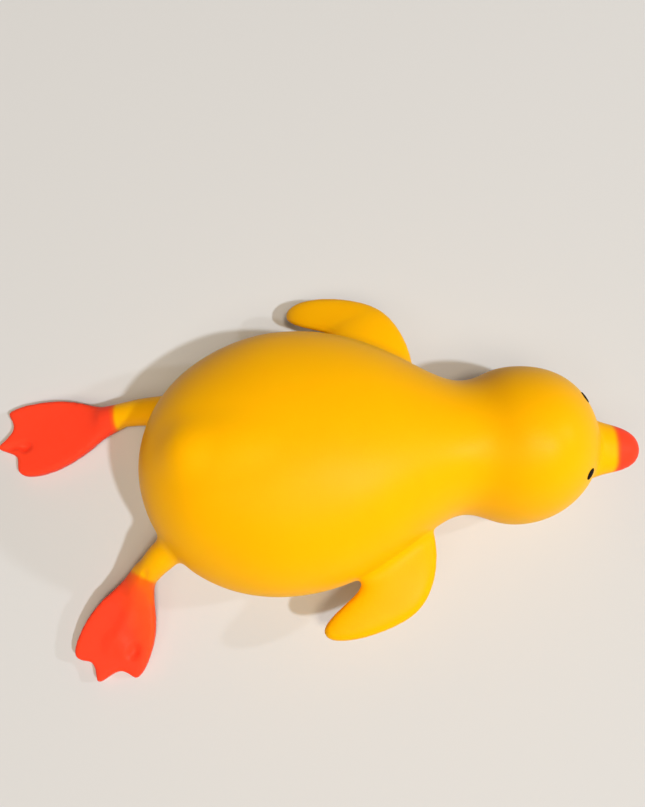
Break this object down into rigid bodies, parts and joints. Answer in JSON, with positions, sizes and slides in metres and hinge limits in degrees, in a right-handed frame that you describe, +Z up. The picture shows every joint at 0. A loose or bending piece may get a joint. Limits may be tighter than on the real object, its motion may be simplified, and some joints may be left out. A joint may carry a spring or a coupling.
{
  "type": "squishy duck",
  "caption": "Soft moulded squeeze duck lying on its belly, with a plump body, waisted neck, round head, blunt bill, swept flipper wings and splayed webbed feet.",
  "frame": {"origin": "middle of the flat that the belly rests on, under the body's widest section", "axes": "+X from the body towards the bill, +Y to the duck's left, +Z up from the table"},
  "size_m": [0.26, 0.15, 0.067],
  "materials": {
    "skin": "satin yellow elastomer, bill tip and feet airbrushed red-orange, eyes painted black"
  },
  "bodies": {
    "root": {"duck": "skin"}
  },
  "joints": []
}
